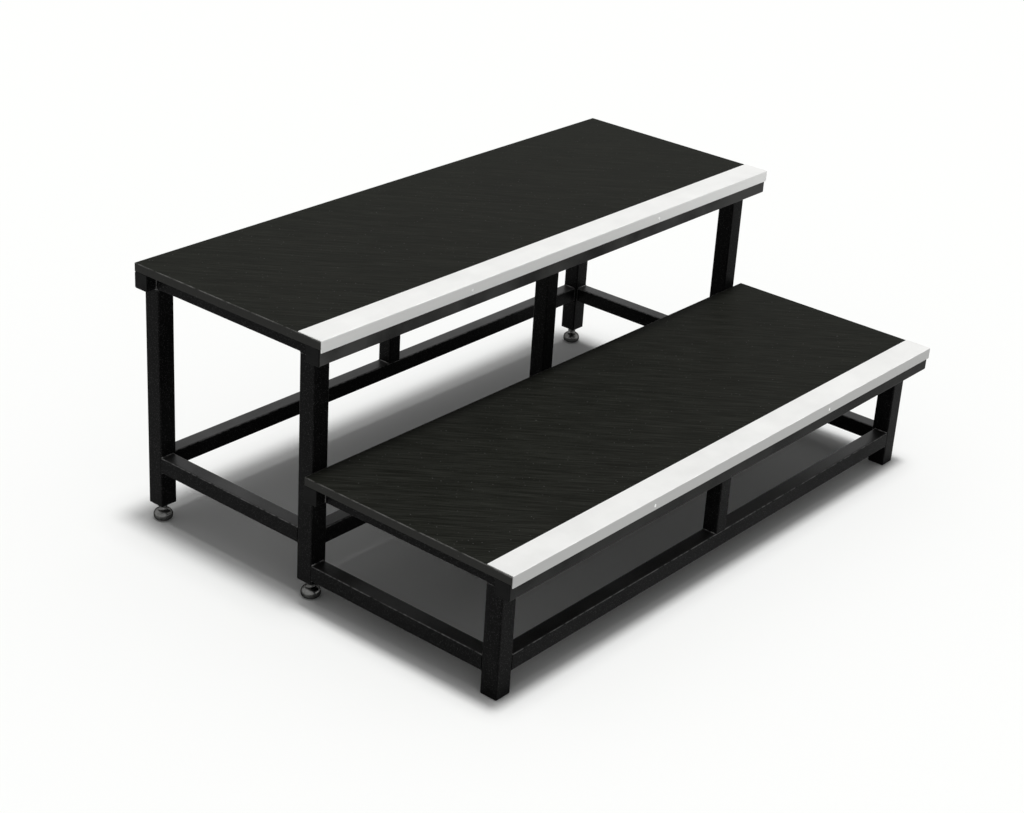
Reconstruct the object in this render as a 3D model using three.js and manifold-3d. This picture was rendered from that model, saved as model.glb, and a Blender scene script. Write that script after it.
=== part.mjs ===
// Two-tier display riser: two steps of black board on a welded square-tube frame.
// Millimetres, +Z up. X runs along the steps, -Y is the front where the low step is.
// The origin is on the floor, under the middle of the whole unit.
import * as THREE from 'three';
import { mergeVertices } from 'three/addons/utils/BufferGeometryUtils.js';
import Module from 'manifold-3d';

// Overall sizes
const unitLength = 1450;
const treadDepth = 516;
const stepGoing = 479;
const upperHeight = 580;
const lowerHeight = 290;

// Square steel tube of the frame
const legTube = 40;
const railTube = 35;
const tubeWall = 2;
const tubeCorner = 3;
const innerCorner = 1;
const legInset = 25;
const railSetback = 5;
const upperStretcherHeight = 119;
const lowerStretcherHeight = 48;

// Boards and the aluminium angle on their front edges
const boardThickness = 18;
const boardEase = 0.8;
const lowerBoardGap = 3;
const nosingWidth = 61;
const nosingThickness = 2;
const nosingSeat = 0.5;
const nosingOverhang = 5.5;
const nosingRound = 2;
const nosingEndInset = 1.5;

// Countersunk screws in the front lip of each nosing
const nosingScrewSpacing = 614;
const nosingScrewEdge = 4;
const nosingHeadRadius = 3.6;
const nosingHeadDepth = 1.7;
const nosingShankRadius = 1.6;
const nosingScrewLength = 25;
const recessSpan = 4;
const recessWidth = 0.9;
const recessDepth = 1.1;

// Tabs welded to the long rails, drilled for the screws that hold the boards down
const tabsPerRail = 4;
const tabWidth = 30;
const tabReach = 26;
const tabThickness = 3;
const tabHoleRadius = 2.5;
const pilotRadius = 1.6;
const boardCover = 6;

// Plastic caps in the open ends of the long rails
const capFlange = 2.5;
const capEdge = 0.8;
const plugDepth = 16;
const plugWall = 2;

// Plastic glides under the legs of the low step
const glideFlange = 6;
const glideEdge = 1.5;

// Levelling feet under the legs of the high step
const footHeight = 40;
const footTravel = 17.5;
const stemRadius = 6;
const stemTipEase = 1.2;
const nutPlate = 5;
const nutHeight = 10;
const nutFlats = 19;
const collarFlats = 17;
const collarHeight = 7;
const skirtRadius = 11.5;
const skirtHeight = 6;
const stemShow = 4;
const pivotRadius = 4.5;
const pivotDepth = 9;
const domeRadius = 20;
const domeBulgeHeight = 10.5;
const domeFall = 4.5;
const domeRim = 2;
const rimInset = 5;
const padRadius = 13.5;
const padThickness = 4;
const padEase = 1;

// Clearances between pieces, and how round shapes are divided
const fitGap = 0.3;
const runGap = 0.06;
const mergeReach = 1e-4;
const turnSegments = 20;
const screwSegments = 12;
const curveSteps = 4;
const cornerSteps = 1;

// Finishes
const blackSteel = { color: 0x1b1b1a, roughness: 0.45, metalness: 0.3 };
const bareSteel = { color: 0x9a9a98, roughness: 0.4, metalness: 1 };
const blackBoard = { color: 0x242520, roughness: 0.6, metalness: 0 };
const aluminium = { color: 0xd9dadb, roughness: 0.35, metalness: 1 };
const zincPlate = { color: 0xb4b5b6, roughness: 0.3, metalness: 1 };
const chromePlate = { color: 0xc8cacc, roughness: 0.12, metalness: 1 };
const blackPlastic = { color: 0x161616, roughness: 0.55, metalness: 0 };
const blackRubber = { color: 0x121212, roughness: 0.85, metalness: 0 };

// Places that follow from the sizes above
const halfLength = unitLength / 2;
const overallDepth = stepGoing + treadDepth;
const rearY = overallDepth / 2;
const lowerNoseY = -overallDepth / 2;
const upperNoseY = lowerNoseY + stepGoing;
const legSetback = railSetback + railTube;
const upperLegFrontY = upperNoseY + legSetback;
const lowerLegFrontY = lowerNoseY + legSetback;
const frameOuterX = halfLength - legInset;
const sideRailX = frameOuterX - railTube / 2;
const legX = frameOuterX - legTube / 2;
const legInnerX = frameOuterX - legTube;
const legBore = legTube - 2 * tubeWall;
const railBore = railTube - 2 * tubeWall;
const boreCorner = Math.max(tubeCorner - tubeWall, innerCorner);
const domeTop = footHeight - stemShow - collarHeight - skirtHeight;

const wasm = await Module();
wasm.setup();

const table = new THREE.Group();

function addPart(name, geometry, finish) {
  const mesh = new THREE.Mesh(geometry, new THREE.MeshStandardMaterial(finish));
  mesh.name = name;
  table.add(mesh);
  return mesh;
}

// Solids for joining and cutting

function toSolid(geometry) {
  const bare = geometry.clone();
  bare.deleteAttribute('normal');
  bare.deleteAttribute('uv');
  const merged = mergeVertices(bare, mergeReach);
  const corners = merged.index.array;
  const triangles = [];
  for (let i = 0; i < corners.length; i += 3) {
    const [a, b, c] = [corners[i], corners[i + 1], corners[i + 2]];
    if (a !== b && b !== c && c !== a) triangles.push(a, b, c);
  }
  return new wasm.Manifold(new wasm.Mesh({
    numProp: 3,
    vertProperties: new Float32Array(merged.attributes.position.array),
    triVerts: new Uint32Array(triangles),
  }));
}

function toGeometry(solid) {
  const mesh = solid.getMesh();
  const geometry = new THREE.BufferGeometry();
  geometry.setAttribute('position', new THREE.BufferAttribute(mesh.vertProperties, 3));
  geometry.setIndex(new THREE.BufferAttribute(mesh.triVerts, 1));
  geometry.computeVertexNormals();
  return geometry;
}

const cut = (body, tools) => toGeometry(
  tools.reduce((solid, tool) => solid.subtract(toSolid(tool)), toSolid(body)));
const join = (pieces) => toGeometry(
  pieces.map(toSolid).reduce((solid, piece) => solid.add(piece)));

// Shapes are drawn with their run along Z, or turned round Y, and then laid along an axis
const zToX = new THREE.Matrix4().set(0, 0, 1, 0, 1, 0, 0, 0, 0, 1, 0, 0, 0, 0, 0, 1);
const zToY = new THREE.Matrix4().set(0, 1, 0, 0, 0, 0, 1, 0, 1, 0, 0, 0, 0, 0, 0, 1);
const yToZ = zToX;

function squareOutline(side, radius, outline) {
  const centre = side / 2 - radius;
  const quarter = Math.PI / 2;
  outline.absarc(centre, centre, radius, 0, quarter);
  outline.absarc(-centre, centre, radius, quarter, 2 * quarter);
  outline.absarc(-centre, -centre, radius, 2 * quarter, 3 * quarter);
  outline.absarc(centre, -centre, radius, 3 * quarter, 4 * quarter);
  return outline;
}

const squareShape = (side, radius) => squareOutline(side, radius, new THREE.Shape());
const squareHole = (side, radius) => squareOutline(side, radius, new THREE.Path());

function prism(shape, from, to) {
  const options = { depth: to - from, bevelEnabled: false, curveSegments: cornerSteps };
  return new THREE.ExtrudeGeometry(shape, options).translate(0, 0, from);
}

// A prism whose end edges are eased inside its own outline and length
function easedPrism(shape, from, to, ease) {
  const options = {
    depth: to - from - 2 * ease,
    bevelSize: ease,
    bevelOffset: -ease,
    bevelThickness: ease,
    bevelSegments: 1,
    curveSegments: cornerSteps,
  };
  return new THREE.ExtrudeGeometry(shape, options).translate(0, 0, from + ease);
}

function tube(side, from, to) {
  const shape = squareShape(side, tubeCorner);
  shape.holes.push(squareHole(side - 2 * tubeWall, boreCorner));
  return prism(shape, from, to);
}

function turned(path, segments) {
  return new THREE.LatheGeometry(path.getPoints(curveSteps), segments).applyMatrix4(yToZ);
}

// A round hole whose flats, not its corners, clear a pin of this radius
const boreRadius = (pin, gap, segments) => (pin + gap) / Math.cos(Math.PI / segments);

function roundBar(radius, from, to, segments) {
  return new THREE.CylinderGeometry(radius, radius, to - from, segments)
    .translate(0, (from + to) / 2, 0)
    .applyMatrix4(yToZ);
}

const hexBar = (flats, from, to) => roundBar(flats / Math.sqrt(3), from, to, 6);

// Welded tubes

function tubeX(name, side, from, to, y, z) {
  const mesh = addPart(name, tube(side, from, to).applyMatrix4(zToX), blackSteel);
  mesh.position.set(0, y, z);
}

// A long rail carries drilled tabs, flush with its top, on the face towards the frame's middle
function tabbedRail(name, from, to, y, z, inward, tabX) {
  const faceY = inward * railTube / 2;
  const rootY = faceY - inward * tubeWall / 2;
  const tipY = faceY + inward * tabReach;
  const topZ = railTube / 2;
  const tabs = tabX.map((x) => new THREE.BoxGeometry(tabWidth, Math.abs(tipY - rootY), tabThickness)
    .translate(x, (rootY + tipY) / 2, topZ - tabThickness / 2));
  const holes = tabX.map((x) => roundBar(tabHoleRadius, 0, railTube, screwSegments)
    .translate(x, faceY + inward * tabReach / 2, 0));
  const rail = join([tube(railTube, from, to).applyMatrix4(zToX), ...tabs]);
  addPart(name, cut(rail, holes), blackSteel).position.set(0, y, z);
}

function tubeY(name, side, from, to, x, z) {
  const mesh = addPart(name, tube(side, from, to).applyMatrix4(zToY), blackSteel);
  mesh.position.set(x, 0, z);
}

function tubeZ(name, side, from, to, x, y) {
  const mesh = addPart(name, tube(side, from, to), blackSteel);
  mesh.position.set(x, y, 0);
}

// A leg is closed at its top, where its inner edge stands clear of the rail above it
function leg(name, from, to, x, y) {
  const bore = prism(squareShape(legBore, boreCorner), from - tubeWall, to - tubeWall);
  const geometry = cut(prism(squareShape(legTube, tubeCorner), from, to), [bore]);
  const mesh = addPart(name, geometry, blackSteel);
  mesh.position.set(x, y, 0);
}

// Board of one tier, rebated for the nosing, with pilot holes for its own screws and the nosing's

function board(name, noseY, backY, topZ, tabPlaces, nosingScrewPlaces) {
  const frontY = noseY + nosingThickness;
  const outline = new THREE.Shape();
  outline.moveTo(-halfLength, frontY);
  outline.lineTo(halfLength, frontY);
  outline.lineTo(halfLength, backY);
  outline.lineTo(-halfLength, backY);
  const underZ = topZ - boardThickness;
  const pilots = tabPlaces.map(([x, y]) => {
    const hole = roundBar(pilotRadius, underZ - boardCover, topZ - boardCover, screwSegments);
    return hole.translate(x, y, 0);
  });
  const edgeHoles = nosingScrewPlaces.map(([x, y, z]) => {
    const radius = boreRadius(nosingShankRadius, fitGap, screwSegments);
    const length = nosingScrewLength + 2 * fitGap;
    const hole = new THREE.CylinderGeometry(radius, radius, length, screwSegments);
    return hole.translate(x, y + nosingScrewLength / 2, z);
  });
  const rebateDepth = nosingWidth + fitGap;
  const rebate = new THREE.BoxGeometry(2 * unitLength, rebateDepth, 2 * nosingSeat)
    .translate(0, noseY + rebateDepth / 2, topZ);
  const slab = easedPrism(outline, underZ, topZ, boardEase);
  addPart(name, cut(slab, [rebate, ...pilots, ...edgeHoles]), blackBoard);
}

// Angle profile: the flange is let into the board and the lip hangs over its front edge

function nosing(name, noseY, topZ, railTopZ, screwPlaces) {
  const lipBottom = railTopZ - nosingOverhang;
  const profile = new THREE.Shape();
  profile.moveTo(noseY, lipBottom);
  profile.lineTo(noseY + nosingThickness, lipBottom);
  profile.lineTo(noseY + nosingThickness, topZ - nosingThickness);
  profile.lineTo(noseY + nosingWidth, topZ - nosingThickness);
  profile.lineTo(noseY + nosingWidth, topZ);
  const roundY = noseY + nosingRound;
  profile.absarc(roundY, topZ - nosingRound, nosingRound, Math.PI / 2, Math.PI);
  const end = halfLength - nosingEndInset;
  const options = { depth: 2 * end, bevelEnabled: false, curveSegments: curveSteps / 2 };
  const angle = new THREE.ExtrudeGeometry(profile, options).translate(0, 0, -end);
  const holes = screwPlaces.map(([x, y, z]) => nosingScrew(fitGap, fitGap).translate(x, y, z));
  addPart(name, cut(angle.applyMatrix4(zToX), holes), aluminium);
}

// Countersunk screw along Y, head to the front, grown by a gap when it serves as its own hole
function nosingScrew(gap, proud) {
  const outline = [
    new THREE.Vector2(0, -proud),
    new THREE.Vector2(nosingHeadRadius + gap, -proud),
    new THREE.Vector2(nosingHeadRadius + gap, gap / 2),
    new THREE.Vector2(nosingShankRadius + gap, nosingHeadDepth + gap / 2),
    new THREE.Vector2(nosingShankRadius + gap, nosingScrewLength),
    new THREE.Vector2(0, nosingScrewLength),
  ];
  return new THREE.LatheGeometry(outline, screwSegments);
}

// The screw itself, with a cross recess in its head
function recessedScrew() {
  const arm = new THREE.BoxGeometry(recessSpan, 2 * recessDepth, recessWidth);
  const crossArm = new THREE.BoxGeometry(recessWidth, 2 * recessDepth, recessSpan);
  return cut(nosingScrew(0, 0), [arm, crossArm]);
}

// Square plug: a hollow body that fills a tube's end and a flange that closes it

function endPlug(side, bore, flange, edge) {
  const plugSide = bore - 2 * fitGap;
  const shell = squareShape(plugSide, boreCorner);
  shell.holes.push(squareHole(plugSide - 2 * plugWall, boreCorner));
  const lid = easedPrism(squareShape(side, tubeCorner), 0, flange + edge, edge);
  const trim = prism(squareShape(2 * side, tubeCorner), flange, flange + 2 * edge);
  const body = prism(shell, flange - edge, flange + plugDepth);
  return join([cut(lid, [trim]), body]);
}

function railCaps(name, y, z) {
  const plug = endPlug(railTube, railBore, capFlange, capEdge).applyMatrix4(zToX);
  const left = addPart(`${name}_left_cap`, plug, blackPlastic);
  left.position.set(-halfLength, y, z);
  const right = addPart(`${name}_right_cap`, plug.clone(), blackPlastic);
  right.position.set(halfLength, y, z);
  right.rotation.z = Math.PI;
}

// One tier: top frame, board, nosing and what fastens them

function tier(name, noseY, frameRearY, boardRearY, topZ) {
  const boardTopZ = topZ - nosingThickness + nosingSeat;
  const railTopZ = boardTopZ - boardThickness;
  const railZ = railTopZ - railTube / 2;
  const frontRailY = noseY + railSetback + railTube / 2;
  const rearRailY = frameRearY - railTube / 2;
  const frontInnerY = noseY + legSetback;
  const rearInnerY = frameRearY - railTube;
  const railEnd = halfLength - capFlange;

  const tabSpacing = unitLength / tabsPerRail;
  const tabX = Array.from({ length: tabsPerRail }, (_, i) => (i + 0.5) * tabSpacing - halfLength);
  tabbedRail(`${name}_front_rail`, -railEnd, railEnd, frontRailY, railZ, 1, tabX);
  tabbedRail(`${name}_rear_rail`, -railEnd, railEnd, rearRailY, railZ, -1, tabX);
  tubeY(`${name}_left_rail`, railTube, frontInnerY, rearInnerY, -sideRailX, railZ);
  tubeY(`${name}_right_rail`, railTube, frontInnerY, rearInnerY, sideRailX, railZ);
  tubeY(`${name}_middle_rail`, railTube, frontInnerY, rearInnerY, 0, railZ);
  railCaps(`${name}_front_rail`, frontRailY, railZ);
  railCaps(`${name}_rear_rail`, rearRailY, railZ);

  const tabLines = [frontInnerY + tabReach / 2, rearInnerY - tabReach / 2];
  const tabPlaces = tabX.flatMap((x) => tabLines.map((y) => [x, y]));
  const screwZ = railTopZ + nosingScrewEdge;
  const screwPlaces = [-1, 1].map((side) => [side * nosingScrewSpacing / 2, noseY, screwZ]);
  board(`${name}_board`, noseY, boardRearY, boardTopZ, tabPlaces, screwPlaces);
  nosing(`${name}_nosing`, noseY, topZ, railTopZ, screwPlaces);
  screwPlaces.forEach((place, i) => {
    const side = ['left', 'right'][i];
    addPart(`${name}_nosing_${side}_screw`, recessedScrew(), zincPlate).position.set(...place);
  });
  return railTopZ - railTube;
}

const upperFrameZ = tier('upper', upperNoseY, rearY, rearY, upperHeight);
const lowerFrameZ = tier(
  'lower', lowerNoseY, upperLegFrontY, upperLegFrontY - lowerBoardGap, lowerHeight);

// Legs, middle posts and stretchers of the high step

const upperFrontLegY = upperLegFrontY + legTube / 2;
const upperRearLegY = rearY - legTube / 2;
const upperLegs = [
  { name: 'front_left', x: -legX, y: upperFrontLegY },
  { name: 'front_right', x: legX, y: upperFrontLegY },
  { name: 'rear_left', x: -legX, y: upperRearLegY },
  { name: 'rear_right', x: legX, y: upperRearLegY },
];
for (const { name, x, y } of upperLegs) {
  leg(`upper_${name}_leg`, footHeight, upperFrameZ, x, y);
}

const stretcherX = frameOuterX - railTube / 2;
const upperBarZ = upperStretcherHeight + railTube / 2;
const upperBarTopZ = upperStretcherHeight + railTube;
const upperFrontBarY = upperLegFrontY + railTube / 2;
const upperRearBarY = rearY - railTube / 2;
const sideBarFrontY = upperLegFrontY + legTube;
const sideBarRearY = rearY - legTube;
tubeX('upper_front_stretcher', railTube, -legInnerX, legInnerX, upperFrontBarY, upperBarZ);
tubeX('upper_rear_stretcher', railTube, -legInnerX, legInnerX, upperRearBarY, upperBarZ);
tubeY('upper_left_stretcher', railTube, sideBarFrontY, sideBarRearY, -stretcherX, upperBarZ);
tubeY('upper_right_stretcher', railTube, sideBarFrontY, sideBarRearY, stretcherX, upperBarZ);
tubeZ('upper_front_post', railTube, upperBarTopZ, upperFrameZ, 0, upperFrontBarY);
tubeZ('upper_rear_post', railTube, upperBarTopZ, upperFrameZ, 0, upperRearBarY);

// Legs, middle post and stretchers of the low step

const lowerLegY = lowerLegFrontY + legTube / 2;
const lowerBarZ = lowerStretcherHeight + railTube / 2;
const lowerBarTopZ = lowerStretcherHeight + railTube;
const lowerFrontBarY = lowerLegFrontY + railTube / 2;
const lowerSideBarFrontY = lowerLegFrontY + legTube;
for (const [name, side] of [['left', -1], ['right', 1]]) {
  leg(`lower_${name}_leg`, glideFlange, lowerFrameZ, side * legX, lowerLegY);
  const glide = endPlug(legTube, legBore, glideFlange, glideEdge);
  addPart(`lower_${name}_glide`, glide, blackPlastic).position.set(side * legX, lowerLegY, 0);
  tubeY(`lower_${name}_stretcher`, railTube, lowerSideBarFrontY, upperLegFrontY,
    side * stretcherX, lowerBarZ);
}
tubeX('lower_front_stretcher', railTube, -legInnerX, legInnerX, lowerFrontBarY, lowerBarZ);
tubeZ('lower_front_post', railTube, lowerBarTopZ, lowerFrameZ, 0, lowerFrontBarY);

// Levelling feet: a nut plate in the leg, a screw that turns in it, and a dome on a rubber pad

function nutInsert() {
  const plate = prism(squareShape(legBore - 2 * fitGap, boreCorner), footHeight, footHeight + nutPlate);
  const nut = hexBar(nutFlats, footHeight + nutPlate / 2, footHeight + nutPlate + nutHeight);
  const radius = boreRadius(stemRadius, runGap, turnSegments);
  const top = footHeight + nutPlate + 2 * nutHeight;
  return cut(join([plate, nut]), [roundBar(radius, footHeight - nutPlate, top, turnSegments)]);
}

function footScrew() {
  const collarZ = domeTop + skirtHeight;
  const stemTop = footHeight + nutPlate + nutHeight + footTravel + stemTipEase;
  const neckRadius = collarFlats / 2;
  const outline = new THREE.Path();
  outline.moveTo(0, domeTop - pivotDepth);
  outline.lineTo(pivotRadius, domeTop - pivotDepth);
  outline.lineTo(pivotRadius, domeTop + runGap);
  outline.lineTo(skirtRadius, domeTop + runGap);
  outline.quadraticCurveTo(neckRadius, domeTop + skirtHeight / 3, neckRadius, collarZ);
  outline.lineTo(stemRadius, collarZ + collarHeight / 2);
  outline.lineTo(stemRadius, stemTop - stemTipEase);
  outline.lineTo(stemRadius - stemTipEase, stemTop);
  outline.lineTo(0, stemTop);
  return join([turned(outline, turnSegments), hexBar(collarFlats, collarZ, collarZ + collarHeight)]);
}

function footDome() {
  const recess = padRadius + fitGap;
  const socket = boreRadius(pivotRadius, runGap, turnSegments);
  const socketZ = domeTop - pivotDepth - fitGap;
  const rim = domeRadius - rimInset;
  const outline = new THREE.Path();
  outline.moveTo(0, padThickness);
  outline.lineTo(recess, padThickness);
  outline.lineTo(recess, domeRim);
  outline.lineTo(rim, domeRim);
  outline.quadraticCurveTo(domeRadius, domeRim, domeRadius, domeBulgeHeight);
  outline.quadraticCurveTo(domeRadius, domeTop - domeFall, skirtRadius, domeTop);
  outline.lineTo(socket, domeTop);
  outline.lineTo(socket, socketZ);
  outline.lineTo(0, socketZ);
  return turned(outline, turnSegments);
}

function footPad() {
  const outline = new THREE.Path();
  outline.moveTo(0, 0);
  outline.lineTo(padRadius - padEase, 0);
  outline.lineTo(padRadius, padEase);
  outline.lineTo(padRadius, padThickness);
  outline.lineTo(0, padThickness);
  return turned(outline, turnSegments);
}

for (const { name, x, y } of upperLegs) {
  addPart(`${name}_foot_nut`, nutInsert(), bareSteel).position.set(x, y, 0);
  addPart(`${name}_foot_screw`, footScrew(), chromePlate).position.set(x, y, 0);
  addPart(`${name}_foot_dome`, footDome(), chromePlate).position.set(x, y, 0);
  addPart(`${name}_foot_pad`, footPad(), blackRubber).position.set(x, y, 0);
}

export default table;
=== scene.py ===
import math

import bmesh
import bpy
from mathutils import Matrix, Vector


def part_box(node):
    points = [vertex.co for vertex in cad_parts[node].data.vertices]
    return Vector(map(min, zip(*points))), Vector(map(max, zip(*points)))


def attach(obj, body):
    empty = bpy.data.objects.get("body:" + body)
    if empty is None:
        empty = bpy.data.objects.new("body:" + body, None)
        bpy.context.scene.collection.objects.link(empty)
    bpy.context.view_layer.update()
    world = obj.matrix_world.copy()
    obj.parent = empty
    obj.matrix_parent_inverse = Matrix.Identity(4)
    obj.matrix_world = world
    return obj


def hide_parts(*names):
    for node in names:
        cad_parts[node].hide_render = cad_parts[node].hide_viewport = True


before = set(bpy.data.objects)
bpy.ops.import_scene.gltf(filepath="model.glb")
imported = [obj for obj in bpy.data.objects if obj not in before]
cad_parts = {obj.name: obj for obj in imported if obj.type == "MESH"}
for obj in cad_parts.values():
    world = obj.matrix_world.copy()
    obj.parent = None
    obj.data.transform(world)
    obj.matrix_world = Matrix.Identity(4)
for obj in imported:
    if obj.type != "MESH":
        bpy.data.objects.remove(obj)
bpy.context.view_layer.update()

# Steel tubes of the frame.
# Cold-rolled square tube, 35 mm for rails, stretchers and posts and 40 mm for legs, sawn square,
# welded end to face and powder coated black. Its level tops carry dust and a painted sheen, its
# upper edges wear and a painted highlight, and the two front rails scuffs and a painted reflection
# of the floor, lighter on the upper one.
TUBE_WALL = 0.002
TUBE_CORNER = 0.003
CORNER_STEPS = 6
BORE_OVERRUN = 0.004
SHARP_ANGLE = math.radians(40)
STEEL_BLACK = (0.002, 0.002, 0.0021, 1)
STEEL_LIGHTER = (0.0042, 0.0042, 0.0043, 1)
STEEL_FLECK = (0.08, 0.08, 0.08, 1)
# Level tops: dust and a painted sheen, lighter than the plain coat.
STEEL_DUST_AND_SHEEN = (0.03, 0.03, 0.029, 1)
# Upper edges: wear and a painted highlight.
STEEL_EDGE_WEAR_AND_HIGHLIGHT = (0.2, 0.2, 0.198, 1)
# Front rails: scuffs and a painted reflection of the floor, painted lighter on the upper tier.
STEEL_SCUFF_AND_REFLECTION = {"upper": (0.085, 0.085, 0.083, 1), "lower": (0.036, 0.036, 0.035, 1)}
# Of a material's pairs, a grain is a height in metres and a strength, and the others are a from
# and a to.
STEEL_ROUGHNESS = (0.34, 0.5)
STEEL_GRAIN = (0.00012, 0.5)
FLECKS_PER_METRE = 450
FLECK_EDGE = (0.34, 0.14)
FLECK_SHARE = (0.42, 0.6)
LEVEL_FACES = (0.6, 0.95)
WIPED_GLOSS = (0.3, 0.65)
FRONT_GREY_COVER = (0.1, 1)
FRONT_GREY_PATCHES = (0.3, 0.62)
NOISE_SPREAD = (0.3, 0.7)
NOISE_MIDDLE = (0.35, 0.65)
# The edge marks below are wear together with a painted highlight, kept to the upper corners where
# light from above catches them.
EDGE_SAMPLES = 6
EDGE_BEND = (0.985, 0.8)
EDGE_CORNER = (0.97, 0.8)
EDGE_UPPER = (0.1, 0.4)
EDGE_PATCH_FROM = 0.42
EDGE_PATCH_TO = 0.68

RAILS = ["front_rail", "rear_rail", "left_rail", "right_rail", "middle_rail"]
TIERS = ["upper", "lower"]
FEET = ["front_left", "front_right", "rear_left", "rear_right"]
LEGS = [f"upper_{corner}_leg" for corner in FEET] + ["lower_left_leg", "lower_right_leg"]
BARS = [
    *[f"{tier}_{rail}" for tier in TIERS for rail in RAILS],
    *[f"upper_{side}_stretcher" for side in ("front", "rear", "left", "right")],
    *[f"lower_{side}_stretcher" for side in ("front", "left", "right")],
    "upper_front_post",
    "upper_rear_post",
    "lower_front_post",
]
BODY = "frame"


def tube_box(node):
    """The tube's own box: a long rail's node is deeper than its tube by the tabs welded to it."""
    low, high = (Vector(corner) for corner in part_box(node))
    side = high.z - low.z
    if node.endswith("front_rail"):
        high.y = low.y + side
    if node.endswith("rear_rail"):
        low.y = high.y - side
    return low, high


def tube_axis(low, high):
    """The axis that a tube runs along, as 0, 1 or 2."""
    size = high - low
    return max(range(3), key=lambda axis: size[axis])


def node_tree(name, kind, inputs, outputs):
    """A node group with named sockets, given as (name, socket type, default) and (name, type)."""
    tree = bpy.data.node_groups.new(name, kind)
    for label, socket, default in inputs:
        made = tree.interface.new_socket(label, in_out="INPUT", socket_type=socket)
        if default is not None:
            made.default_value = default
    for label, socket in outputs:
        tree.interface.new_socket(label, in_out="OUTPUT", socket_type=socket)
    source = tree.nodes.new("NodeGroupInput")
    sink = tree.nodes.new("NodeGroupOutput")
    return tree, source.outputs, sink.inputs


def add_node(tree, kind, values=None, **settings):
    """A node with its settings made and its inputs set, or linked where the value is a socket."""
    node = tree.nodes.new(kind)
    for name, value in settings.items():
        setattr(node, name, value)
    for name, value in (values or {}).items():
        if isinstance(value, bpy.types.NodeSocket):
            tree.links.new(value, node.inputs[name])
        else:
            node.inputs[name].default_value = value
    return node


def combine(tree, operation, first, second):
    """One value from two, by the named operation."""
    node = add_node(tree, "ShaderNodeMath", {0: first, 1: second}, operation=operation)
    return node.outputs[0]


def settle(piece):
    """Applies a piece's modifiers, so that a plain mesh is left at the origin."""
    weighted = piece.modifiers.new("flat faces", "WEIGHTED_NORMAL")
    weighted.keep_sharp = True
    graph = bpy.context.evaluated_depsgraph_get()
    mesh = bpy.data.meshes.new_from_object(piece.evaluated_get(graph), depsgraph=graph)
    piece.modifiers.clear()
    piece.data = mesh
    mesh.name = piece.name
    return piece


def grow(name, tree, values, base=None):
    """Runs a Geometry Nodes tree on an object and keeps the result as its plain mesh."""
    piece = bpy.data.objects.new(name, base or bpy.data.meshes.new(name))
    bpy.context.scene.collection.objects.link(piece)
    modifier = piece.modifiers.new(tree.name, "NODES")
    modifier.node_group = tree
    inputs = [item for item in tree.interface.items_tree if item.in_out == "INPUT"]
    sockets = {item.name: item.identifier for item in inputs}
    for label, value in values.items():
        modifier[sockets[label]] = value
    return settle(piece)


def finish_tree(tree, geometry, material, sink):
    """Smooth faces with sharp corners kept, instances made real, and the material set."""
    smooth = add_node(tree, "GeometryNodeSetShadeSmooth", {"Geometry": geometry}, domain="FACE")
    angle = add_node(tree, "GeometryNodeInputMeshEdgeAngle")
    steep = add_node(tree, "FunctionNodeCompare", {"A": angle.outputs[0], "B": SHARP_ANGLE})
    crisp = add_node(
        tree, "GeometryNodeSetShadeSmooth",
        {"Geometry": smooth.outputs[0], "Selection": steep.outputs[0], "Shade Smooth": False},
        domain="EDGE")
    real = add_node(tree, "GeometryNodeRealizeInstances", {"Geometry": crisp.outputs[0]})
    coated = add_node(
        tree, "GeometryNodeSetMaterial", {"Geometry": real.outputs[0], "Material": material})
    tree.links.new(coated.outputs[0], sink[0])


def tube_tree():
    """Square tube with round corners between two points, bored through between two others."""
    tree, source, sink = node_tree(
        "square_tube", "GeometryNodeTree",
        [("Start", "NodeSocketVector", None), ("End", "NodeSocketVector", None),
         ("Bore start", "NodeSocketVector", None), ("Bore end", "NodeSocketVector", None),
         ("Side", "NodeSocketFloat", None), ("Wall", "NodeSocketFloat", TUBE_WALL),
         ("Corner", "NodeSocketFloat", TUBE_CORNER), ("Material", "NodeSocketMaterial", None)],
        [("Geometry", "NodeSocketGeometry")])

    def bar(start, end, side, corner):
        path = add_node(tree, "GeometryNodeCurvePrimitiveLine", {"Start": start, "End": end})
        square = add_node(
            tree, "GeometryNodeCurvePrimitiveQuadrilateral", {"Width": side, "Height": side})
        rounded = add_node(
            tree, "GeometryNodeFilletCurve",
            {"Curve": square.outputs[0], "Radius": corner, "Count": CORNER_STEPS}, mode="POLY")
        swept = add_node(
            tree, "GeometryNodeCurveToMesh",
            {"Curve": path.outputs[0], "Profile Curve": rounded.outputs[0], "Fill Caps": True})
        return swept.outputs[0]

    one_wall_less = combine(tree, "SUBTRACT", source["Side"], source["Wall"])
    bore_side = combine(tree, "SUBTRACT", one_wall_less, source["Wall"])
    bore_corner = combine(tree, "SUBTRACT", source["Corner"], source["Wall"])
    outside = bar(source["Start"], source["End"], source["Side"], source["Corner"])
    bore = bar(source["Bore start"], source["Bore end"], bore_side, bore_corner)
    hollow = add_node(
        tree, "GeometryNodeMeshBoolean", {"Mesh 1": outside, "Mesh 2": bore},
        operation="DIFFERENCE")
    finish_tree(tree, hollow.outputs[0], source["Material"], sink)
    return tree


def mapped(tree, value, results, spread=(0, 1)):
    """Maps a spread of values on to a range of results, and holds them at its ends."""
    (low, high), (start, stop) = results, spread
    node = add_node(
        tree, "ShaderNodeMapRange",
        {"Value": value, "From Min": start, "From Max": stop, "To Min": low, "To Max": high})
    return node.outputs[0]


def mask(tree, value, start, stop):
    """0 on the start's side and 1 on the stop's, whichever of them is higher."""
    return mapped(tree, value, (0, 1), (start, stop))


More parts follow.
